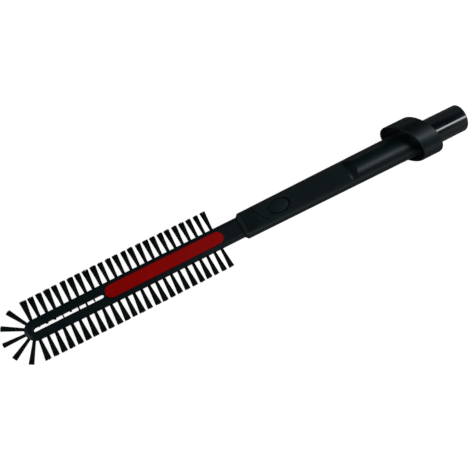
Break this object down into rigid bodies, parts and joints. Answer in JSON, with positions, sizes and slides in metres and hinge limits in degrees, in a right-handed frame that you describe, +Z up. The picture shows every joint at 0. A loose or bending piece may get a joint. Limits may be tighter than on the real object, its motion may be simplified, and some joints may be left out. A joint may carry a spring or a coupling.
{
  "type": "radiator vacuum brush",
  "caption": "Long slim suction brush for radiators: slotted blade edged with tufts, red cover over its air duct, tubular handle with release button, hanging loop and wand socket.",
  "frame": {"origin": "centre of the wand socket's mouth", "axes": "+X from the socket mouth along the handle to the brush tip, +Z up out of the face with the red cover and the button, +Y completes a right-handed frame"},
  "size_m": [0.6524, 0.0788, 0.0614],
  "materials": {
    "satin_black": "satin moulded plastic",
    "red_plastic": "satin moulded plastic",
    "gloss_black": "polished moulded plastic",
    "bristle": "crimped nylon filament",
    "spring_steel": "drawn wire"
  },
  "bodies": {
    "brush": {"head_frame": "satin_black", "red_cover": "red_plastic", "handle_tube": "satin_black", "button_spring": "spring_steel", "end_tube": "gloss_black", "tuft_anchors": "spring_steel", "tip_tufts": "bristle", "tuft_far_01": "bristle", "tuft_far_02": "bristle", "tuft_far_03": "bristle", "tuft_far_04": "bristle", "tuft_far_05": "bristle", "tuft_far_06": "bristle", "tuft_far_07": "bristle", "tuft_far_08": "bristle", "tuft_far_09": "bristle", "tuft_far_10": "bristle", "tuft_far_11": "bristle", "tuft_far_12": "bristle", "tuft_far_13": "bristle", "tuft_far_14": "bristle", "tuft_far_15": "bristle", "tuft_far_16": "bristle", "tuft_far_17": "bristle", "tuft_far_18": "bristle", "tuft_far_19": "bristle", "tuft_far_20": "bristle", "tuft_far_21": "bristle", "tuft_far_22": "bristle", "tuft_far_23": "bristle", "tuft_far_24": "bristle", "tuft_far_25": "bristle", "tuft_near_01": "bristle", "tuft_near_02": "bristle", "tuft_near_03": "bristle", "tuft_near_04": "bristle", "tuft_near_05": "bristle", "tuft_near_06": "bristle", "tuft_near_07": "bristle", "tuft_near_08": "bristle", "tuft_near_09": "bristle", "tuft_near_10": "bristle", "tuft_near_11": "bristle", "tuft_near_12": "bristle", "tuft_near_13": "bristle", "tuft_near_14": "bristle", "tuft_near_15": "bristle", "tuft_near_16": "bristle", "tuft_near_17": "bristle", "tuft_near_18": "bristle", "tuft_near_19": "bristle", "tuft_near_20": "bristle", "tuft_near_21": "bristle", "tuft_near_22": "bristle", "tuft_near_23": "bristle", "tuft_near_24": "bristle", "tuft_near_25": "bristle"},
    "button": {"release_button": "satin_black"}
  },
  "joints": [
    {"name": "button_press", "type": "slide", "parent": "brush", "child": "button", "axis": [0, 0, -1], "range_m": [0, 0.0038], "stiffness_N_per_m": 1200, "springref_m": -0.0015, "deforming": ["button_spring"]}
  ]
}
